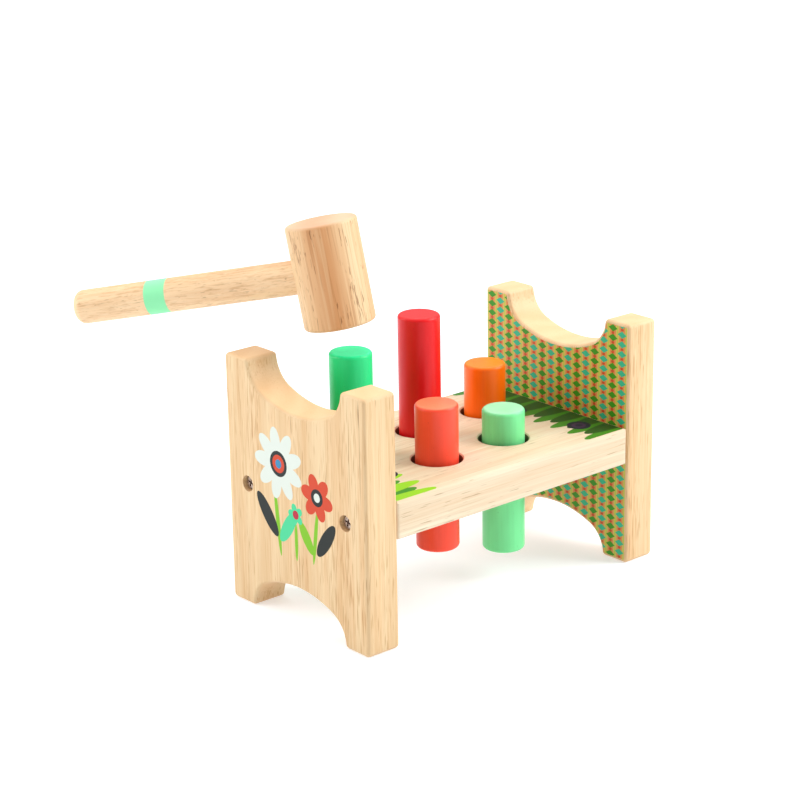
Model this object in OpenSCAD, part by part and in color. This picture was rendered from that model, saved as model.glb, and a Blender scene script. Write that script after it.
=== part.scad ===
// Peg pounding bench in wood, with five painted pegs and a round-headed hammer.
// The origin is on the table, midway between the four feet. +X runs along the bench to its patterned
// end, -Y faces the user and +Z is up. The bench is the same either way up.

/* [Bench] */
// Length over both end panels
bench_l = 220; // [200:1:280]
// Height of the end panels, which is that of the bench
bench_h = 146; // [138:1:180]
// Width of the end panels
panel_w = 120; // [116:1:150]
// Thickness of the end panels
panel_t = 22; // [16:0.5:26]
// Width of each post and each foot
post_w = 20; // [15:0.5:24]
// Depth of the scoop at the top and of the arch at the bottom
scoop_depth = 22.5; // [20:0.5:30]
// Radius of the tight bends at both ends of a scoop
scoop_bend_r = 18; // [14:0.5:19]
// Rounding of the panels' edges
panel_edge_r = 2; // [0.5:0.5:3]
// How much rounder the panels' corners are than their edges
corner_more_r = 0.5; // [0.5:0.5:3]

/* [Board] */
// How far the board's sides are set in from the panels' sides
board_inset = 0.5; // [0:0.5:4]
// Thickness of the board
board_t = 22; // [18:0.5:28]
// Rounding of the board's edges
board_edge_r = 2; // [0.5:0.5:4]
// Distance between neighbouring holes of one row
hole_pitch = 51; // [46:1:57]
// Distance between the two rows of holes
row_gap = 43; // [38:1:48]
// Gap all round between a peg and its hole
hole_gap = 2.25; // [1.5:0.25:3]
// Bevel at the mouths of the holes
hole_bevel = 0.8; // [0.3:0.1:1.5]

/* [Pegs] */
// Diameter of the pegs
peg_d = 24.6; // [20:0.2:27]
// Length of the pegs
peg_l = 85; // [80:0.5:92]
// Rounding of the pegs' ends
peg_end_r = 2; // [0.5:0.5:2.5]
// How far the green peg's foot is below the middle of the board
green_down = 15.5; // [3.5:0.5:68]
// How far the red peg's foot is below the middle of the board, just gripped
red_down = 4; // [3.5:0.5:68]
// How far the orange peg's foot is below the middle of the board
orange_down = 44; // [3.5:0.5:68]
// How far the coral peg's foot is below the middle of the board
coral_down = 41.5; // [3.5:0.5:68]
// How far the mint peg's foot is below the middle of the board
mint_down = 56; // [3.5:0.5:68]

/* [Grip rings] */
// Thickness of the rubber rings' round section
ring_cord_d = 3.5; // [3.2:0.1:5]
// Clearance between a ring and the peg that it grips
ring_clear = 0.05; // [0.02:0.01:0.1]
// Clearance between a ring and its groove
groove_clear = 0.1; // [0.05:0.05:0.3]

/* [Screws] */
// Distance from the rows of holes out to the screws
screw_out = 21; // [18:0.5:28]
// Diameter of the screws' shanks
screw_d = 4; // [3:0.5:5]
// Length of the screws under their heads
screw_l = 40; // [30:1:45]
// Length of the screws' points
screw_point = 5; // [3:0.5:8]
// Diameter of the screw heads
screw_head_d = 8; // [7:0.5:9]
// Height of the screw heads
screw_head_h = 2.8; // [2:0.1:4]
// Bevel round the screw heads
screw_head_bevel = 0.7; // [0.3:0.1:1.2]
// Length of the cross in a screw head
cross_l = 5; // [4:0.2:6]
// Width of the cross's slots
cross_w = 1.1; // [0.8:0.1:1.5]
// Depth of the cross
cross_depth = 1.6; // [1:0.1:1.9]
// Turn of the cross from upright
cross_turn = 15; // [0:5:90]
// Diameter of the counterbores that the heads sit in
sink_d = 9.4; // [9.2:0.2:12]
// Depth of those counterbores
sink_depth = 5; // [4.5:0.5:9]
// Clearance of the screws in their holes
screw_clear = 0.1; // [0.05:0.05:0.3]

/* [Hammer] */
// Diameter of the hammer's head
head_d = 40.5; // [34:0.5:46]
// Length of the hammer's head
head_l = 59; // [50:0.5:66]
// Rounding of the head's edges
head_edge_r = 2; // [0.5:0.5:4]
// Diameter of the handle
handle_d = 19.5; // [14:0.5:22]
// Length of the handle outside the head
handle_reach = 134; // [100:1:160]
// Length of the handle inside the head
handle_seat = 28; // [20:1:32]
// Rounding of the handle's free end
handle_end_r = 5; // [1:0.5:6.5]
// Clearance of the handle in its bore
handle_clear = 0.05; // [0.02:0.01:0.1]
// Distance from the bench's left end to the middle of the head
hammer_in = 51; // [40:0.5:80]
// Distance from the bench's centre line back to the middle of the head
hammer_back = 27.5; // [-20:0.5:40]
// Height of the middle of the head above the post tops
hammer_up = 42; // [42:0.5:80]

/* [Hidden] */

wood = "#f3dfb8";
dark_wood = "#e3bd8b";
rubber = "#3a3733";
steel = "#6b6c70";
green = "#25bb62";
red = "#ea1d2d";
orange = "#fb6f0c";
coral = "#f4706a";
mint = "#98efb9";

$fn = 96;
overrun = 1;

board_l = bench_l - 2 * panel_t;
board_w = panel_w - 2 * board_inset;
board_z = bench_h / 2;

// A scoop is a wide arc between two tight bends, and its corners with the post tops are rounded
scoop_half = panel_w / 2 - post_w;
bend_y = scoop_half - scoop_bend_r;
wide_r = (bend_y ^ 2 + scoop_depth ^ 2 - scoop_bend_r ^ 2) / (2 * (scoop_depth - scoop_bend_r));
wide_up = wide_r - scoop_depth;
wide_turn = atan2(bend_y, wide_up);
corner_r = panel_edge_r + corner_more_r;
corner_y = bend_y + sqrt((scoop_bend_r + corner_r) ^ 2 - corner_r ^ 2);
bend_end = asin(corner_r / (scoop_bend_r + corner_r));
wide_steps = 12;
bend_steps = 12;
corner_steps = 5;
edge_steps = 4;

// Two rows of holes, the front one half a step along from the back one
peg_r = peg_d / 2;
hole_r = peg_r + hole_gap;
back_y = row_gap / 2;
front_y = -row_gap / 2;
green_at = [-hole_pitch, back_y];
red_at = [0, back_y];
orange_at = [hole_pitch, back_y];
coral_at = [-hole_pitch / 2, front_y];
mint_at = [hole_pitch / 2, front_y];
hole_places = [green_at, red_at, orange_at, coral_at, mint_at];

// Each ring fills the gap round its peg from a groove halfway down the hole
ring_r = peg_r + ring_clear + ring_cord_d / 2;
groove_r = ring_r + ring_cord_d / 2 + groove_clear;
groove_h = ring_cord_d + 2 * groove_clear;

screw_y = back_y + screw_out;
screw_r = screw_d / 2;
screw_hole_r = screw_r + screw_clear;
screw_bite = screw_l - (panel_t - sink_depth);

// The hammer is held in the air, its handle out behind the left end
hammer_at = [hammer_in - bench_l / 2, hammer_back, bench_h + hammer_up];
hammer_turn = [-2.4, -10.8, -56];
head_r = head_d / 2;
handle_r = handle_d / 2;

// Rectangle with round corners, centred
module soft_rectangle(w, h, r) {
  square([w - 2 * r, h], center = true);
  square([w, h - 2 * r], center = true);
  for (sx = [-1, 1], sy = [-1, 1])
    translate([sx * (w / 2 - r), sy * (h / 2 - r)]) circle(r);
}

// Block with all its edges rounded
module soft_block(size, r) {
  intersection() {
    rotate([90, 0, 90]) linear_extrude(size.x, center = true) soft_rectangle(size.y, size.z, r);
    rotate([90, 0, 0]) linear_extrude(size.y, center = true) soft_rectangle(size.x, size.z, r);
    linear_extrude(size.z, center = true) soft_rectangle(size.x, size.y, r);
  }
}

// Quarter of a disc, whose corner is at the origin
module quarter_disc(r) {
  intersection() {
    circle(r);
    square(r);
  }
}

// Round bar up the Z axis, with its foot and its top rounded
module soft_bar(r, h, foot_r, top_r) {
  rotate_extrude() {
    square([r - foot_r, h / 2]);
    translate([0, h / 2]) square([r - top_r, h / 2]);
    translate([0, foot_r]) square([r, h - foot_r - top_r]);
    translate([r - foot_r, foot_r]) mirror([0, 1]) quarter_disc(foot_r);
    translate([r - top_r, h - top_r]) quarter_disc(top_r);
  }
}

// Points of an arc from angle a to angle b in n steps, less so many at each end
function arc(centre, r, a, b, n, less = 0) =
  [for (i = [less : n - less]) let (t = a + (b - a) * i / n) centre + r * [cos(t), sin(t)]];

// A quarter of the panel's outline in Y and Z, drawn in by inset: out of the scoop and over a post
function outline_quarter(inset) = let (top = bench_h / 2) concat(
  arc([0, top + wide_up], wide_r + inset, wide_turn / (2 * wide_steps + 1) - 90, wide_turn - 90, wide_steps),
  arc([bend_y, top], scoop_bend_r + inset, wide_turn - 90, -bend_end, bend_steps, 1),
  arc([corner_y, top - corner_r], corner_r - inset, 180 - bend_end, 90, corner_steps),
  arc([panel_w / 2 - corner_r, top - corner_r], corner_r - inset, 90, 0, corner_steps)
);

function turned_back(points) = [for (i = [len(points) - 1 : -1 : 0]) points[i]];

function outline(inset) = let (q = outline_quarter(inset)) concat(
  q,
  turned_back([for (p = q) [p.x, -p.y]]),
  [for (p = q) [-p.x, -p.y]],
  turned_back([for (p = q) [-p.x, p.y]])
);

// The outline carried from the outer face to the inner one, its edges rounded on the way
module panel_slab() {
  outer_edge = [
    for (i = [0 : edge_steps]) let (t = 90 * i / edge_steps)
      [panel_edge_r * (1 - cos(t)) - panel_t / 2, panel_edge_r * (1 - sin(t))]
  ];
  sections = concat(outer_edge, turned_back([for (e = outer_edge) [-e.x, e.y]]));
  count = len(outline(0));
  quarter = count / 4;
  last = len(sections) - 1;
  points = [for (section = sections) for (p = outline(section.y)) [section.x, p.x, p.y]];
  walls = [
    for (k = [0 : last - 1]) for (i = [0 : count - 1])
      let (a = k * count + i, b = k * count + (i + 1) % count)
        each [[a, b, b + count], [a, b + count, a + count]]
  ];
  // Each flat face is laid in upright strips, from the scoop's edge down to the arch's
  strips = concat(
    [[0, 2 * quarter - 1, 2 * quarter, count - 1]],
    [for (i = [0 : quarter - 2]) [i + 1, 2 * quarter - 2 - i, 2 * quarter - 1 - i, i]],
    [for (i = [0 : quarter - 2]) [count - 1 - i, 2 * quarter + i, 2 * quarter + i + 1, count - 2 - i]]
  );
  outer_face = strips;
  inner_face = [for (s = strips) turned_back([for (i = s) last * count + i])];
  polyhedron(points, concat(outer_face, inner_face, walls));
}

// End panel round the origin's upright line, its outer face towards -X
module panel() {
  difference() {
    translate([0, 0, bench_h / 2]) panel_slab();
    for (s = [-1, 1]) translate([-panel_t / 2, s * screw_y, board_z]) rotate([0, 90, 0]) {
      translate([0, 0, -overrun]) cylinder(r = sink_d / 2, h = sink_depth + overrun);
      cylinder(r = screw_hole_r, h = panel_t + overrun);
    }
  }
}

module left_panel() {
  color(wood) translate([(panel_t - bench_l) / 2, 0, 0]) panel();
}

module right_panel() {
  color(wood) rotate([0, 0, 180]) translate([(panel_t - bench_l) / 2, 0, 0]) panel();
}

// Cutter for a peg hole: bevelled at both mouths, with the ring's groove at half depth
module hole_cutter() {
  mouth = board_t / 2;
  wide = hole_r + hole_bevel + overrun;
  rotate_extrude()
    polygon([
      [0, -mouth - overrun], [wide, -mouth - overrun], [hole_r, hole_bevel - mouth],
      [hole_r, -groove_h / 2], [groove_r, -groove_h / 2], [groove_r, groove_h / 2], [hole_r, groove_h / 2],
      [hole_r, mouth - hole_bevel], [wide, mouth + overrun], [0, mouth + overrun]
    ]);
}

module bench_board() {
  color(wood) translate([0, 0, board_z]) difference() {
    soft_block([board_l, board_w, board_t], board_edge_r);
    for (p = hole_places) translate(p) hole_cutter();
    for (end = [0, 1], s = [-1, 1]) mirror([end, 0, 0])
      translate([board_l / 2 + overrun, s * screw_y, 0]) rotate([0, -90, 0])
        cylinder(r = screw_hole_r, h = screw_bite + screw_clear + overrun);
  }
}

module ring(p) {
  color(rubber) translate([p.x, p.y, board_z]) rotate_extrude() translate([ring_r, 0]) circle(ring_cord_d / 2);
}

module green_ring() { ring(green_at); }
module red_ring() { ring(red_at); }
module orange_ring() { ring(orange_at); }
module coral_ring() { ring(coral_at); }
module mint_ring() { ring(mint_at); }

// Wood screw along X at the left end, its head's flat side on the counterbore's floor
module screw(side) {
  head_r = screw_head_d / 2;
  color(steel) translate([sink_depth - screw_head_h - bench_l / 2, side * screw_y, board_z]) rotate([0, 90, 0])
    difference() {
      rotate_extrude()
        polygon([
          [0, 0], [head_r - screw_head_bevel, 0], [head_r, screw_head_bevel], [head_r, screw_head_h],
          [screw_r, screw_head_h], [screw_r, screw_head_h + screw_l - screw_point], [0, screw_head_h + screw_l]
        ]);
      for (turn = [cross_turn, cross_turn + 90]) rotate([0, 0, turn])
        cube([cross_l, cross_w, 2 * cross_depth], center = true);
    }
}

module left_front_screw() { screw(-1); }
module left_back_screw() { screw(1); }
module right_front_screw() { rotate([0, 0, 180]) screw(1); }
module right_back_screw() { rotate([0, 0, 180]) screw(-1); }

module peg(p, down) {
  translate([p.x, p.y, board_z - down]) soft_bar(peg_r, peg_l, peg_end_r, peg_end_r);
}

module green_peg() { color(green) peg(green_at, green_down); }
module red_peg() { color(red) peg(red_at, red_down); }
module orange_peg() { color(orange) peg(orange_at, orange_down); }
module coral_peg() { color(coral) peg(coral_at, coral_down); }
module mint_peg() { color(mint) peg(mint_at, mint_down); }

// Head upright round the origin, with a blind bore for the handle in its -X side
module hammer_head() {
  color(dark_wood) translate(hammer_at) rotate(hammer_turn) difference() {
    translate([0, 0, -head_l / 2]) soft_bar(head_r, head_l, head_edge_r, head_edge_r);
    translate([handle_seat + handle_clear - head_r, 0, 0]) rotate([0, -90, 0])
      cylinder(r = handle_r + handle_clear, h = head_d);
  }
}

module hammer_handle() {
  color(wood) translate(hammer_at) rotate(hammer_turn) translate([handle_seat - head_r, 0, 0])
    rotate([0, -90, 0]) soft_bar(handle_r, handle_seat + handle_reach, handle_clear, handle_end_r);
}

left_panel();
right_panel();
bench_board();
green_ring();
red_ring();
orange_ring();
coral_ring();
mint_ring();
left_front_screw();
left_back_screw();
right_front_screw();
right_back_screw();
green_peg();
red_peg();
orange_peg();
coral_peg();
mint_peg();
hammer_head();
hammer_handle();
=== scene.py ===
import math

import bpy
from mathutils import Euler, Matrix, Vector


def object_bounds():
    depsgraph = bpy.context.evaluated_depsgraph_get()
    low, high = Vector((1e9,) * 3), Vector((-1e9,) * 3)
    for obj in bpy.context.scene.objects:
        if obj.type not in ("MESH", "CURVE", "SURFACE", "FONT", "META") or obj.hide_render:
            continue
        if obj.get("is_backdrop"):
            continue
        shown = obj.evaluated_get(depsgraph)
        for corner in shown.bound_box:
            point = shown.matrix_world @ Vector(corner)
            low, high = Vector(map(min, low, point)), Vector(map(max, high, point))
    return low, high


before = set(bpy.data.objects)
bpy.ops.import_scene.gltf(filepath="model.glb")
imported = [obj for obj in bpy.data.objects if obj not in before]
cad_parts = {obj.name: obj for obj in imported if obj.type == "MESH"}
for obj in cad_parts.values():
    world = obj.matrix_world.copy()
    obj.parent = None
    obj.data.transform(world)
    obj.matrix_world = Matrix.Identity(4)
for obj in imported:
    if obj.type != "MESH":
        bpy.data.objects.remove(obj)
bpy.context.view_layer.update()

mm = 0.001
scene = bpy.context.scene


# sRGB hex to the linear colour that a socket takes
def linearColour(hexColour):
    channels = [int(hexColour[i:i + 2], 16) / 255 for i in (1, 3, 5)]
    return [c / 12.92 if c <= 0.04045 else ((c + 0.055) / 1.055) ** 2.4 for c in channels] + [1.0]


# a node or one of its sockets gives a link, anything else a value
def plug(tree, value, socket):
    if isinstance(value, bpy.types.Node):
        value = next(output for output in value.outputs if output.enabled)
    if isinstance(value, bpy.types.NodeSocket):
        tree.links.new(value, socket)
    else:
        socket.default_value = value


def addNode(tree, kind, inputs=None, **settings):
    node = tree.nodes.new(kind)
    for name, value in settings.items():
        setattr(node, name, value)
    for place, value in (inputs or {}).items():
        plug(tree, value, node.inputs[place])
    return node


def startMaterial(name, surface):
    material = bpy.data.materials.new(name)
    material.use_nodes = True
    tree = material.node_tree
    for socket, value in surface.items():
        tree.nodes["Principled BSDF"].inputs[socket].default_value = value
    return material, tree, addNode(tree, "ShaderNodeTexCoord")


# what all drawn-out marks share: how far each layer's noise is moved from the last one's, how rough it is, and
# the noise levels between which patches grow
marksInWood = {
    "layerShift": Vector((3.7, 1.3, 2.1)),
    "patchShift": Vector((1.9, 0.0, 0.0)),
    "patchStart": Vector((0.0, 5.3, 0.0)),
    "noiseRoughness": 0.55,
    "patchLevel": (0.3, 0.7),
}


# lays drawn-out specks and streaks over a colour, one layer after the other, and gives the last one's mask too.
# Each has the spacing of its marks across and along the grain in mm, how much they gather in patches, the noise
# level where they start and where they are full, an ink and a strength
def layStreaks(tree, place, colour, layers, share):
    for number, layer in enumerate(layers):
        across, along = layer["spacing"]
        shifted = addNode(tree, "ShaderNodeMapping", {
            "Vector": place, "Location": marksInWood["layerShift"] * number,
            "Scale": (1 / across / mm, 1 / across / mm, 1 / along / mm),
        })
        marks = addNode(tree, "ShaderNodeTexNoise", {
            "Vector": shifted, "Scale": 1.0, "Detail": layer.get("detail", 1.0),
            "Roughness": marksInWood["noiseRoughness"], "Distortion": layer.get("wave", 0.0),
        })
        if "patch" in layer:
            patchAcross, patchAlong, patchShare = layer["patch"]
            spread = addNode(tree, "ShaderNodeMapping", {
                "Vector": place, "Location": marksInWood["patchStart"] + marksInWood["patchShift"] * number,
                "Scale": (1 / patchAcross / mm, 1 / patchAcross / mm, 1 / patchAlong / mm),
            })
            patches = addNode(tree, "ShaderNodeTexNoise", {"Vector": spread, "Scale": 1.0, "Detail": 1.0})
            low, high = marksInWood["patchLevel"]
            patches = addNode(tree, "ShaderNodeMapRange", {
                0: patches, 1: low, 2: high, 3: -patchShare, 4: patchShare,
            })
            marks = addNode(tree, "ShaderNodeMath", {0: marks, 1: patches}, operation="ADD")
        start, full = layer["level"]
        mask = addNode(tree, "ShaderNodeMapRange", {0: marks, 1: start, 2: full, 3: 0.0, 4: layer["strength"]})
        if share:
            mask = addNode(tree, "ShaderNodeMath", {0: mask, 1: share}, operation="MULTIPLY")
        ink = linearColour(layer["ink"])
        colour = addNode(tree, "ShaderNodeMix", {0: mask, 6: colour, 7: ink}, data_type="RGBA")
    return colour, mask


# fitted to the photograph, in mm, degrees and the photograph's pixels
cameraValues = {
    "place": (-836.774, -936.918, 518.858),
    "azimuth": -40.606,
    "elevation": 18.128,
    "roll": -0.962,
    "focalPixels": 2319.528,
    "framePixels": 800,
    "sensor": 36.0,
    "clip": (0.05, 50.0),
}
bpy.ops.object.select_all(action="DESELECT")
bpy.ops.object.camera_add()
camera = bpy.context.object
camera.name = "photoCamera"
camera.data.sensor_width = cameraValues["sensor"]
camera.data.lens = cameraValues["focalPixels"] / cameraValues["framePixels"] * cameraValues["sensor"]
camera.data.clip_start, camera.data.clip_end = cameraValues["clip"]
camera.matrix_world = (
    Matrix.Translation(Vector(cameraValues["place"]) * mm)
    @ Matrix.Rotation(math.radians(cameraValues["azimuth"]), 4, "Z")
    @ Matrix.Rotation(math.radians(90 - cameraValues["elevation"]), 4, "X")
    @ Matrix.Rotation(math.radians(cameraValues["roll"]), 4, "Z")
)
scene.camera = camera
scene.view_settings.view_transform = "Standard"
print("camera placed")

# a white light table in a dim white room, with a large soft lamp overhead, a strong one on the right and a
# weaker one on the left
studio = {
    "floorSize": 12.0,
    "floorWhite": "#D6DBE1",
    "floorRoughness": 0.9,
    "floorGlow": 0.42,
    "mottlesPerMetre": 40.0,
    "mottleLevel": (0.3, 0.7),
    "mottleStrength": 0.15,
    "mottleShade": 0.97,
    "roomLight": 0.52,
    "lamps": [
        {"name": "overheadBox", "place": (0.6, 0.7, 2.4), "size": 4.0, "power": 75.0},
        {"name": "rightBox", "place": (1.0, -0.85, 0.95), "size": 0.8, "power": 21.5},
        {"name": "leftBox", "place": (-1.15, 1.0, 0.8), "size": 1.0, "power": 15.0},
    ],
    "aim": (0.0, 0.0, 0.08),
}
bpy.ops.mesh.primitive_plane_add(size=studio["floorSize"])
floor = bpy.context.object
floor.name = "floor"
floor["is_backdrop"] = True
# frosted acrylic sheet lit from below: even white with the faintest mottle, so that shadows stay faint
acrylic, tree, texture = startMaterial("frostedAcrylicSheet", {
    "Roughness": studio["floorRoughness"],
    "Emission Color": (1, 1, 1, 1),
    "Emission Strength": studio["floorGlow"],
})
mottle = addNode(tree, "ShaderNodeTexNoise", {
    "Vector": texture.outputs["Object"], "Scale": studio["mottlesPerMetre"], "Detail": 2.0,
})
low, high = studio["mottleLevel"]
mottle = addNode(tree, "ShaderNodeMapRange", {0: mottle, 1: low, 2: high, 3: 0.0, 4: studio["mottleStrength"]})
white = linearColour(studio["floorWhite"])
shaded = [studio["mottleShade"] * c for c in white]
sheetColour = addNode(tree, "ShaderNodeMix", {0: mottle, 6: white, 7: shaded}, data_type="RGBA")
plug(tree, sheetColour, tree.nodes["Principled BSDF"].inputs["Base Color"])
floor.data.materials.append(acrylic)

world = bpy.data.worlds.new("studio")
scene.world = world
world.use_nodes = True
world.node_tree.nodes["Background"].inputs["Color"].default_value = (1, 1, 1, 1)
world.node_tree.nodes["Background"].inputs["Strength"].default_value = studio["roomLight"]
for lamp in studio["lamps"]:
    bpy.ops.object.light_add(type="AREA", location=lamp["place"])
    light = bpy.context.object
    light.name = lamp["name"]
    light.data.size = lamp["size"]
    light.data.energy = lamp["power"]
    light.rotation_euler = (Vector(studio["aim"]) - light.location).to_track_quat("-Z", "Y").to_euler()
print("studio lit")

# Rubberwood, sanded and clear lacquered. The eye sees pale cream wood with faint tan growth bands, fine streaks
# along the grain and short brown pores. The real pores are 0.2 mm wide: they are drawn twice as wide, to show.
rubberwood = {
    "surface": {"Roughness": 0.5, "IOR": 1.5, "Specular IOR Level": 0.3},
    "pale": "#DCC096",
    "tan": "#C79C69",
    "endGrain": "#E6B88A",
    "endShare": 0.5,
    # how far a face looks along the grain where end grain starts and is full, and where the streaks start to
    # fade and have faded, with what is left of them there
    "endOnLevel": (0.3, 1.0),
    "sideFade": (0.1, 0.6, 0.15),
    "ringSpacing": 15.0,
    "ringShare": 0.36,
    # of the growth bands in mm: its spacing across and along the grain, and how far it goes
    "sway": (28.0, 220.0, 14.0),
    "relief": 0.06,
    "reliefStrength": 0.4,
    "streaks": [
        {"spacing": (5.5, 150.0), "detail": 2.0, "level": (0.42, 0.72), "ink": "#D29C66", "strength": 0.32},
        {"spacing": (1.3, 60.0), "detail": 2.0, "level": (0.50, 0.80), "ink": "#EAD2A6", "strength": 0.5},
        {"spacing": (1.0, 38.0), "detail": 2.0, "level": (0.53, 0.66), "ink": "#BC8A50", "strength": 0.36},
        {"spacing": (0.9, 17.0), "patch": (14.0, 60.0, 0.1),
         "level": (0.62, 0.70), "ink": "#A2681E", "strength": 0.46},
        {"spacing": (1.3, 24.0), "patch": (22.0, 90.0, 0.07),
         "level": (0.74, 0.80), "ink": "#84521A", "strength": 0.5},
    ],
}


def makeRubberwood(name, heart, grainTurn, **changes):
    look = dict(rubberwood, **changes)
    material, tree, texture = startMaterial(name, look["surface"])
    # this place's Z runs along the grain, and the growth rings lie round it
    place = addNode(tree, "ShaderNodeMapping", {
        "Vector": texture.outputs["Object"], "Location": [v * mm for v in heart], "Rotation": grainTurn,
    }, vector_type="TEXTURE")
    swayAcross, swayAlong, swayBy = look["sway"]
    bent = addNode(tree, "ShaderNodeMapping", {
        "Vector": place, "Scale": (1 / swayAcross / mm, 1 / swayAcross / mm, 1 / swayAlong / mm),
    })
    bent = addNode(tree, "ShaderNodeTexNoise", {"Vector": bent, "Scale": 1.0, "Detail": 2.0})
    flat = addNode(tree, "ShaderNodeVectorMath", {0: place, 1: (1.0, 1.0, 0.0)}, operation="MULTIPLY")
    fromHeart = addNode(tree, "ShaderNodeVectorMath", {0: flat}, operation="LENGTH")
    fromHeart = addNode(tree, "ShaderNodeMath", {
        0: bent, 1: swayBy * mm, 2: fromHeart,
    }, operation="MULTIPLY_ADD")
    halfRing = look["ringSpacing"] / 2 * mm
    ring = addNode(tree, "ShaderNodeMath", {0: fromHeart, 1: halfRing}, operation="PINGPONG")
    ring = addNode(tree, "ShaderNodeMapRange", {
        0: ring, 1: 0.0, 2: halfRing, 3: 0.0, 4: look["ringShare"],
    }, interpolation_type="SMOOTHSTEP")
    colour = addNode(tree, "ShaderNodeMix", {
        0: ring, 6: linearColour(look["pale"]), 7: linearColour(look["tan"]),
    }, data_type="RGBA")

    # end grain has a colour of its own and is plain, so the streaks fade out there
    normal = addNode(tree, "ShaderNodeVectorRotate", {
        "Vector": texture.outputs["Normal"], "Rotation": grainTurn,
    }, rotation_type="EULER_XYZ", invert=True)
    normal = addNode(tree, "ShaderNodeSeparateXYZ", {0: normal}).outputs["Z"]
    endOn = addNode(tree, "ShaderNodeMath", {0: normal}, operation="ABSOLUTE")
    low, high = look["endOnLevel"]
    endMask = addNode(tree, "ShaderNodeMapRange", {0: endOn, 1: low, 2: high, 3: 0.0, 4: look["endShare"]})
    low, high, left = look["sideFade"]
    sideMask = addNode(tree, "ShaderNodeMapRange", {0: endOn, 1: low, 2: high, 3: 1.0, 4: left})
    colour = addNode(tree, "ShaderNodeMix", {
        0: endMask, 6: colour, 7: linearColour(look["endGrain"]),
    }, data_type="RGBA")
    colour, pores = layStreaks(tree, place, colour, look["streaks"], sideMask)

    relief = addNode(tree, "ShaderNodeBump", {
        "Height": pores, "Strength": look["reliefStrength"], "Distance": look["relief"] * mm,
    }, invert=True)
    plug(tree, relief, tree.nodes["Principled BSDF"].inputs["Normal"])
    plug(tree, colour, tree.nodes["Principled BSDF"].inputs["Base Color"])
    return material, tree, texture.outputs["Object"]


# Screen-printed inks: the eye sees flat, even shapes with sharp edges, opaque but for a breath of grain. The
# last brown is no ink but painted shade on the walls of the holes
inks = {
    "white": "#CFD6CC", "night": "#04120E", "mint": "#3FC58B", "vermilion": "#C43A12", "crimson": "#AD0E30",
    "blue": "#2C7DA6", "lime": "#74B20C", "leaf": "#328808", "navy": "#0E1226", "plum": "#3A2142",
    "teal": "#2AAA80", "coral": "#BE4420", "straw": "#B1B946", "blush": "#C87A3C", "wheat": "#CDA346",
    # the two greens after sprout are sprout and leaf darkened, painted shade for the board's right end
    "sprout": "#8CC80A", "shadedSprout": "#387C0A", "shadedLeaf": "#204C06", "ringPaint": "#8BE6A9", "holeShade": "#4A2C18",
}
inkCover = 0.995  # how much of the wood's colour an ink hides
printDepth = 1.5  # mm that a motif reaches into its face
faceSlack = 0.03  # mm that a point of a printed face may lie off it


def printOn(tree, masksAndInks):
    socket = tree.nodes["Principled BSDF"].inputs["Base Color"]
    colour = socket.links[0].from_socket
    for mask, ink in masksAndInks:
        cover = addNode(tree, "ShaderNodeMath", {0: mask, 1: inkCover}, operation="MULTIPLY")
        colour = addNode(tree, "ShaderNodeMix", {
            0: cover, 6: colour, 7: linearColour(inks[ink]),
        }, data_type="RGBA")
    plug(tree, colour, socket)


petalWaist = 0.6  # how far a flower's notches lie from its middle, as a share of its radius


# an oval or, with petals, a flower on a face: 1 inside it and 0 outside
def motif(tree, place, centre, radii, turn=0.0, petals=0):
    local = addNode(tree, "ShaderNodeMapping", {
        "Vector": place, "Location": [v * mm for v in centre], "Rotation": (math.radians(turn), 0, 0),
        "Scale": [v * mm for v in radii],
    }, vector_type="TEXTURE")
    far = addNode(tree, "ShaderNodeVectorMath", {0: local}, operation="LENGTH")
    if not petals:
        return addNode(tree, "ShaderNodeMath", {0: far, 1: 1.0}, operation="LESS_THAN")
    parts = addNode(tree, "ShaderNodeSeparateXYZ", {0: local})
    angle = addNode(tree, "ShaderNodeMath", {0: parts.outputs["Z"], 1: parts.outputs["Y"]}, operation="ARCTAN2")
    angle = addNode(tree, "ShaderNodeMath", {0: angle, 1: petals / 2}, operation="MULTIPLY")
    wave = addNode(tree, "ShaderNodeMath", {0: angle}, operation="COSINE")
    wave = addNode(tree, "ShaderNodeMath", {0: wave}, operation="ABSOLUTE")
    edge = addNode(tree, "ShaderNodeMath", {
        0: wave, 1: 1 - petalWaist, 2: petalWaist,
    }, operation="MULTIPLY_ADD")
    return addNode(tree, "ShaderNodeMath", {0: far, 1: edge}, operation="LESS_THAN")


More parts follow.
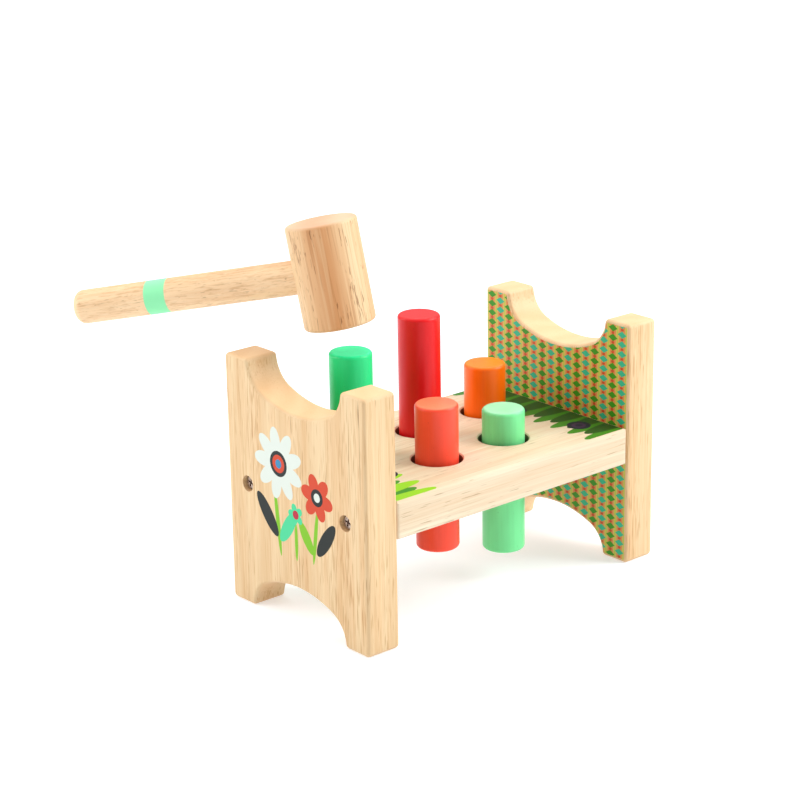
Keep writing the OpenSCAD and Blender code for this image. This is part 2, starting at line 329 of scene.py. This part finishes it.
# A lattice of diamonds covers both inner faces, every second column of it dropped by half a step, and flowers
# stand on the left panel's outer face
panels = {
    "heart": (60, -160, 0),
    "outerFace": -110.0,
    "innerFace": 88.0,
    # ink, across, up, half width, half height, turn, petals
    "flowers": [
        ["lime", 16, 58, 1.7, 20, -6, 0], ["lime", -17, 58, 1.5, 17, 8, 0], ["lime", 0, 50, 1.4, 11, 0, 0],
        ["night", 25, 60, 4.6, 14, -38, 0], ["mint", 7, 57, 4.2, 12, 35, 0],
        ["night", -26, 58, 4.2, 13, 36, 0], ["lime", -9, 55, 3.6, 10, -34, 0],
        ["white", 14, 92, 21, 21, 0, 9], ["night", 14, 92, 7.4, 7.4, 0, 0],
        ["vermilion", 14, 92, 5.2, 5.2, 0, 0], ["blue", 14, 92, 2.6, 2.6, 0, 0],
        ["vermilion", -19, 81, 13.5, 13.5, 10, 6],
        ["night", -19, 81, 5.0, 5.0, 0, 0], ["white", -19, 81, 2.6, 2.6, 0, 0],
        ["mint", 0, 66, 6.5, 6.5, 0, 5], ["crimson", 0, 66, 2.6, 2.6, 0, 0],
    ],
    # the lattice's columns, steps and marks in mm, and how much its ground and bands cover
    "column": 7.25,
    "step": 5.8,
    "diamond": (3.6, 2.2),
    "bandHalf": 2.3,
    "line": 0.8,
    "dot": 1.1,
    "groundShare": 0.7,
    "bandShare": 0.8,
    # brown streaks in the wood: place, half width, half length and strength, then their depth and solid core
    "darkStreaks": [
        [(-110, -55.5, 137), 0.6, 9, 0.9],
        [(-110, -55.9, 112), 0.5, 34, 0.45],
        [(-110, -47, 108), 0.45, 26, 0.3],
    ],
    "streakDepth": 9.0,
    "streakCore": 0.2,
    "streakBrown": "#7A5428",
}
panelWood, tree, place = makeRubberwood("lacqueredRubberwoodPanel", panels["heart"], (0, 0, 0))
socket = tree.nodes["Principled BSDF"].inputs["Base Color"]
colour = socket.links[0].from_socket
for centre, halfWidth, halfLength, strength in panels["darkStreaks"]:
    local = addNode(tree, "ShaderNodeMapping", {
        "Vector": place, "Location": [v * mm for v in centre],
        "Scale": (panels["streakDepth"] * mm, halfWidth * mm, halfLength * mm),
    }, vector_type="TEXTURE")
    far = addNode(tree, "ShaderNodeVectorMath", {0: local}, operation="LENGTH")
    mask = addNode(tree, "ShaderNodeMapRange", {0: far, 1: 1.0, 2: panels["streakCore"], 3: 0.0, 4: strength})
    colour = addNode(tree, "ShaderNodeMix", {
        0: mask, 6: colour, 7: linearColour(panels["streakBrown"]),
    }, data_type="RGBA")
plug(tree, colour, socket)

prints = []
for ink, across, up, halfWidth, halfHeight, turn, petals in panels["flowers"]:
    centre = (panels["outerFace"], across, up)
    prints.append((motif(tree, place, centre, (printDepth, halfWidth, halfHeight), turn, petals), ink))
parts = addNode(tree, "ShaderNodeSeparateXYZ", {0: place})
fromMiddle = addNode(tree, "ShaderNodeMath", {0: parts.outputs["X"]}, operation="ABSOLUTE")
onFace = addNode(tree, "ShaderNodeMath", {
    0: fromMiddle, 1: panels["innerFace"] * mm, 2: faceSlack * mm,
}, operation="COMPARE")
halfColumn = panels["column"] / 2 * mm
halfStep = panels["step"] / 2 * mm
diamondWide, diamondTall = panels["diamond"]
across = addNode(tree, "ShaderNodeMath", {0: parts.outputs["Y"], 1: halfColumn}, operation="ADD")
aside = addNode(tree, "ShaderNodeMath", {0: across, 1: halfColumn}, operation="PINGPONG")
column = panels["column"] * mm
odd = addNode(tree, "ShaderNodeMath", {0: parts.outputs["Y"], 1: 2 * column, 2: 0.0}, operation="WRAP")
odd = addNode(tree, "ShaderNodeMath", {0: odd, 1: column}, operation="GREATER_THAN")
dropped = addNode(tree, "ShaderNodeMath", {
    0: odd, 1: halfStep, 2: parts.outputs["Z"],
}, operation="MULTIPLY_ADD")
rise = addNode(tree, "ShaderNodeMath", {0: dropped, 1: halfStep}, operation="PINGPONG")
up = addNode(tree, "ShaderNodeMath", {0: rise, 1: 1 / diamondTall / mm}, operation="MULTIPLY")
reach = addNode(tree, "ShaderNodeMath", {
    0: aside, 1: 1 / diamondWide / mm, 2: up,
}, operation="MULTIPLY_ADD")
inDiamond = addNode(tree, "ShaderNodeMath", {0: reach, 1: 1.0}, operation="LESS_THAN")
inOddDiamond = addNode(tree, "ShaderNodeMath", {0: inDiamond, 1: odd}, operation="MULTIPLY")
fromGap = addNode(tree, "ShaderNodeMath", {0: halfStep, 1: rise}, operation="SUBTRACT")
spot = addNode(tree, "ShaderNodeCombineXYZ", {0: aside, 1: fromGap})
spot = addNode(tree, "ShaderNodeVectorMath", {0: spot}, operation="LENGTH")
inDot = addNode(tree, "ShaderNodeMath", {0: spot, 1: panels["dot"] * mm}, operation="LESS_THAN")
inBand = addNode(tree, "ShaderNodeMath", {0: aside, 1: panels["bandHalf"] * mm}, operation="LESS_THAN")
inBand = addNode(tree, "ShaderNodeMath", {0: inBand, 1: panels["bandShare"]}, operation="MULTIPLY")
inLine = addNode(tree, "ShaderNodeMath", {
    0: aside, 1: halfColumn - panels["line"] * mm,
}, operation="GREATER_THAN")
latticeMarks = [
    (panels["groundShare"], "wheat"), (inBand, "blush"), (inLine, "straw"),
    (inDot, "coral"), (inDiamond, "teal"), (inOddDiamond, "leaf"),
]
for mask, ink in latticeMarks:
    prints.append((addNode(tree, "ShaderNodeMath", {0: mask, 1: onFace}, operation="MULTIPLY"), ink))
printOn(tree, prints)
print("panels finished")

# a border of rounded tongues at both ends of the board's top, and round berries. The right end's tongues repeat
# the left end's in darker greens, painted shade from the right panel
board = {
    "heart": (0, -130, -60),
    "face": 84.0,
    "end": 88.0,
    "pitch": 14.0,
    # end of the board, ink, reach, half width, shift in pitches
    "tongues": [
        [-1, "leaf", 23, 5.0, 0.5], [-1, "sprout", 31, 5.4, 0.0],
        # darker greens here: painted shade from the right panel
        [1, "shadedSprout", 31, 5.4, 0.0], [1, "shadedLeaf", 24, 5.6, 0.5],
    ],
    "berries": [(72, -36), (64, 9), (71, 44), (-64, -22), (-71, 14), (-64, 46)],
    "berryRings": [["navy", 7.0], ["plum", 4.2], ["navy", 2.2]],
    # the walls of the holes are painted darker, painted shade in the recesses: places, radius, half length and
    # strength
    "holes": [(-51, 21.5), (0, 21.5), (51, 21.5), (-25.5, -21.5), (25.5, -21.5)],
    "paintedHoleShade": (14.7, 500.0, 0.85),
    # a paler plank than the panels', with sparse thin pores and plainer ends
    "pale": "#D8C8AC",
    "tan": "#CDAC86",
    "endShare": 0.3,
    "streaks": [
        {"spacing": (6.0, 150.0), "detail": 2.0, "level": (0.42, 0.72), "ink": "#D2A67C", "strength": 0.35},
        {"spacing": (1.5, 80.0), "detail": 2.0, "level": (0.48, 0.80), "ink": "#ECDFC6", "strength": 0.55},
        {"spacing": (1.0, 60.0), "detail": 2.0, "level": (0.55, 0.70), "ink": "#B98C5A", "strength": 0.28},
        {"spacing": (0.9, 14.0), "patch": (14.0, 70.0, 0.08),
         "level": (0.68, 0.74), "ink": "#8A6438", "strength": 0.5},
    ],
}
boardWood, tree, place = makeRubberwood(
    "lacqueredRubberwoodBoard", board["heart"], (0, math.radians(90), 0),
    pale=board["pale"], tan=board["tan"], endShare=board["endShare"], streaks=board["streaks"])
parts = addNode(tree, "ShaderNodeSeparateXYZ", {0: place})
onTop = addNode(tree, "ShaderNodeMath", {
    0: parts.outputs["Z"], 1: board["face"] * mm, 2: faceSlack * mm,
}, operation="COMPARE")
fromMiddle = addNode(tree, "ShaderNodeMath", {0: parts.outputs["X"]}, operation="ABSOLUTE")
fromEnd = addNode(tree, "ShaderNodeMath", {0: board["end"] * mm, 1: fromMiddle}, operation="SUBTRACT")
prints = []
for end, ink, reach, halfWidth, shift in board["tongues"]:
    moved = addNode(tree, "ShaderNodeMath", {
        0: parts.outputs["Y"], 1: shift * board["pitch"] * mm,
    }, operation="ADD")
    aside = addNode(tree, "ShaderNodeMath", {0: moved, 1: board["pitch"] / 2 * mm}, operation="PINGPONG")
    aside = addNode(tree, "ShaderNodeMath", {0: aside, 1: 1 / halfWidth / mm}, operation="MULTIPLY")
    along = addNode(tree, "ShaderNodeMath", {0: fromEnd, 1: 1 / reach / mm}, operation="MULTIPLY")
    spot = addNode(tree, "ShaderNodeCombineXYZ", {0: along, 1: aside})
    spot = addNode(tree, "ShaderNodeVectorMath", {0: spot}, operation="LENGTH")
    inTongue = addNode(tree, "ShaderNodeMath", {0: spot, 1: 1.0}, operation="LESS_THAN")
    atEnd = addNode(tree, "ShaderNodeMath", {0: parts.outputs["X"], 1: end}, operation="MULTIPLY")
    atEnd = addNode(tree, "ShaderNodeMath", {0: atEnd, 1: 0.0}, operation="GREATER_THAN")
    atEnd = addNode(tree, "ShaderNodeMath", {0: atEnd, 1: onTop}, operation="MULTIPLY")
    prints.append((addNode(tree, "ShaderNodeMath", {0: inTongue, 1: atEnd}, operation="MULTIPLY"), ink))
for x, y in board["berries"]:
    for ink, radius in board["berryRings"]:
        prints.append((motif(tree, place, (x, y, board["face"]), (radius, radius, printDepth)), ink))
radius, halfLength, strength = board["paintedHoleShade"]
# painted shade down each hole's wall
for x, y in board["holes"]:
    inHole = motif(tree, place, (x, y, board["face"]), (radius, radius, halfLength))
    prints.append((addNode(tree, "ShaderNodeMath", {0: inHole, 1: strength}, operation="MULTIPLY"), "holeShade"))
printOn(tree, prints)
print("board finished")

# the hammer's place and turn are those of its solids. Its head has a broad brown growth band down the side
# that the camera sees, and its handle one painted ring
hammer = {
    "place": (-59.0, 27.5, 188.0),
    "turn": (-2.4, -10.8, -56.0),
    "headHeart": (33.2, -28.5, 0),
    "headTan": "#D28E56",
    "headEnd": "#D2B298",
    "headBand": 34.0,
    "headBandShare": 0.85,
    "headSway": (16.0, 120.0, 6.0),
    # crisp short pores
    "headStreaks": [
        {"spacing": (4.0, 120.0), "detail": 2.0, "level": (0.42, 0.72), "ink": "#CF9560", "strength": 0.4},
        {"spacing": (1.4, 70.0), "detail": 2.0, "level": (0.50, 0.80), "ink": "#EED4AA", "strength": 0.4},
        {"spacing": (1.1, 44.0), "detail": 2.0, "level": (0.53, 0.64), "ink": "#A86C38", "strength": 0.4},
        {"spacing": (0.8, 8.0), "patch": (12.0, 50.0, 0.1),
         "level": (0.69, 0.73), "ink": "#7E4A1E", "strength": 0.65},
    ],
    "handleHeart": (10, 40, 0),
    "handlePale": "#F0CDA2",
    "handleTan": "#D6A06C",
    # short wavy grain
    "handleStreaks": [
        {"spacing": (5.0, 60.0), "detail": 2.0, "level": (0.42, 0.72), "ink": "#C8915F", "strength": 0.4},
        {"spacing": (1.1, 9.0), "detail": 2.0, "wave": 0.8,
         "level": (0.50, 0.70), "ink": "#B5824C", "strength": 0.45},
        {"spacing": (1.0, 7.0), "detail": 2.0, "wave": 0.8,
         "level": (0.50, 0.78), "ink": "#EBD3AE", "strength": 0.45},
        {"spacing": (0.9, 5.0), "wave": 0.5, "level": (0.66, 0.76), "ink": "#8A5F34", "strength": 0.45},
    ],
    # the painted ring's place along the handle and half its width
    "ring": (-102.7, 6.3),
}
hammerTurn = Euler([math.radians(v) for v in hammer["turn"]])
handleTurn = (hammerTurn.to_matrix() @ Matrix.Rotation(math.radians(90), 3, "Y")).to_euler()
headHeart = Vector(hammer["place"]) + Vector(hammer["headHeart"])
headWood, tree, place = makeRubberwood(
    "lacqueredRubberwoodHead", headHeart, hammerTurn,
    tan=hammer["headTan"], endGrain=hammer["headEnd"], streaks=hammer["headStreaks"],
    ringSpacing=hammer["headBand"], ringShare=hammer["headBandShare"], sway=hammer["headSway"])
handleHeart = Vector(hammer["place"]) + Vector(hammer["handleHeart"])
handleWood, tree, place = makeRubberwood(
    "lacqueredRubberwoodHandle", handleHeart, handleTurn, pale=hammer["handlePale"], tan=hammer["handleTan"],
    streaks=hammer["handleStreaks"])
hammerPlace = addNode(tree, "ShaderNodeMapping", {
    "Vector": place, "Location": [v * mm for v in hammer["place"]], "Rotation": hammerTurn,
}, vector_type="TEXTURE")
along = addNode(tree, "ShaderNodeSeparateXYZ", {0: hammerPlace})
ringAt, ringHalf = hammer["ring"]
inRing = addNode(tree, "ShaderNodeMath", {
    0: along.outputs["X"], 1: ringAt * mm, 2: ringHalf * mm,
}, operation="COMPARE")
printOn(tree, [(inRing, "ringPaint")])
print("hammer finished")

# Wood under two thin coats of satin paint. The eye sees one strong even colour with a soft shine, the grain
# just felt through it along the peg and a few specks of dust in the coat. All marks are in a deeper paint
pegs = {
    "surface": {"Roughness": 0.36, "IOR": 1.5, "Specular IOR Level": 0.28},
    "paints": {
        # the green is mixed brighter than its paint, to make up for the shade the hammer head casts on the
        # green peg: painted light
        "green": "#24DE86", "red": "#E21116", "orange": "#FD6E00", "coral": "#FB4E35", "mint": "#78E596",
    },
    # both ends of a peg are painted paler: a painted highlight for the strong light from above and the satin
    # sheen seen at a grazing angle, and on the green peg it also makes up for the shade the hammer head casts
    "ends": {
        "green": "#2CF6A6", "red": "#E21116", "orange": "#FD7E00", "coral": "#FF8058", "mint": "#9CE2B0",
    },
    "paintedHighlightLevel": (0.6, 0.95),
    "deep": 0.8,
    "marks": [
        {"spacing": (14.0, 50.0), "detail": 2.0, "level": (0.4, 0.8), "strength": 0.3},  # clouds
        {"spacing": (1.2, 2.2), "level": (0.74, 0.8), "strength": 0.6},  # specks
        {"spacing": (1.3, 34.0), "detail": 3.0, "level": (0.4, 0.8), "strength": 0.15},  # fibres
    ],
    "relief": 0.1,
    "reliefStrength": 0.35,
}


def makePegPaint(name, hexColour, highlightColour):
    material, tree, texture = startMaterial(name, pegs["surface"])
    # faces that look up or down get the paler colour, a painted highlight
    normal = addNode(tree, "ShaderNodeSeparateXYZ", {0: texture.outputs["Normal"]})
    endOn = addNode(tree, "ShaderNodeMath", {0: normal.outputs["Z"]}, operation="ABSOLUTE")
    low, high = pegs["paintedHighlightLevel"]
    endMask = addNode(tree, "ShaderNodeMapRange", {0: endOn, 1: low, 2: high, 3: 0.0, 4: 1.0})
    base = addNode(tree, "ShaderNodeMix", {
        0: endMask, 6: linearColour(hexColour), 7: linearColour(highlightColour),
    }, data_type="RGBA")
    deep = "#" + "".join("%02X" % round(int(hexColour[i:i + 2], 16) * pegs["deep"]) for i in (1, 3, 5))
    marks = [dict(mark, ink=deep) for mark in pegs["marks"]]
    colour, fibres = layStreaks(tree, texture.outputs["Object"], base, marks, None)
    relief = addNode(tree, "ShaderNodeBump", {
        "Height": fibres, "Strength": pegs["reliefStrength"], "Distance": pegs["relief"] * mm,
    }, invert=True)
    plug(tree, relief, tree.nodes["Principled BSDF"].inputs["Normal"])
    plug(tree, colour, tree.nodes["Principled BSDF"].inputs["Base Color"])
    return material


materials = {
    "left_panel": panelWood, "right_panel": panelWood, "bench_board": boardWood,
    "hammer_head": headWood, "hammer_handle": handleWood,
}
for colourName, hexColour in pegs["paints"].items():
    materials[colourName + "_peg"] = makePegPaint(
        colourName + "SatinPaint", hexColour, pegs["ends"][colourName])
print("pegs painted")

# Moulded nitrile rubber: black, dull and faintly grainy. The grain is drawn at 0.4 mm
gripRings = {
    "surface": {"Roughness": 0.7, "IOR": 1.52},
    "black": "#201E1C",
    "grain": [{"spacing": (0.4, 0.4), "level": (0.4, 0.7), "ink": "#35322F", "strength": 1.0}],
}
rubber, tree, texture = startMaterial("mouldedNitrileRubber", gripRings["surface"])
black = linearColour(gripRings["black"])
colour, mask = layStreaks(tree, texture.outputs["Object"], black, gripRings["grain"], None)
plug(tree, colour, tree.nodes["Principled BSDF"].inputs["Base Color"])
for colourName in pegs["paints"]:
    materials[colourName + "_ring"] = rubber

# Zinc-plated steel, turned and then barrel plated: light grey with a warm cast and a slightly uneven shine
screws = {
    "surface": {"Metallic": 1.0},
    "zinc": "#C8B4A6",
    "grain": [{"spacing": (0.8, 0.8), "level": (0.4, 0.7), "ink": "#8C7A6E", "strength": 1.0}],
    "roughness": (0.28, 0.42),
}
zinc, tree, texture = startMaterial("zincPlatedSteel", screws["surface"])
bright = linearColour(screws["zinc"])
colour, mask = layStreaks(tree, texture.outputs["Object"], bright, screws["grain"], None)
smooth, rough = screws["roughness"]
plug(tree, colour, tree.nodes["Principled BSDF"].inputs["Base Color"])
shine = addNode(tree, "ShaderNodeMapRange", {0: mask, 1: 0.0, 2: 1.0, 3: smooth, 4: rough})
plug(tree, shine, tree.nodes["Principled BSDF"].inputs["Roughness"])
for corner in ("left_front", "left_back", "right_front", "right_back"):
    materials[corner + "_screw"] = zinc

for name, material in materials.items():
    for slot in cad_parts[name].material_slots:
        slot.material = material
print("finishes laid on")

low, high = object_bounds()
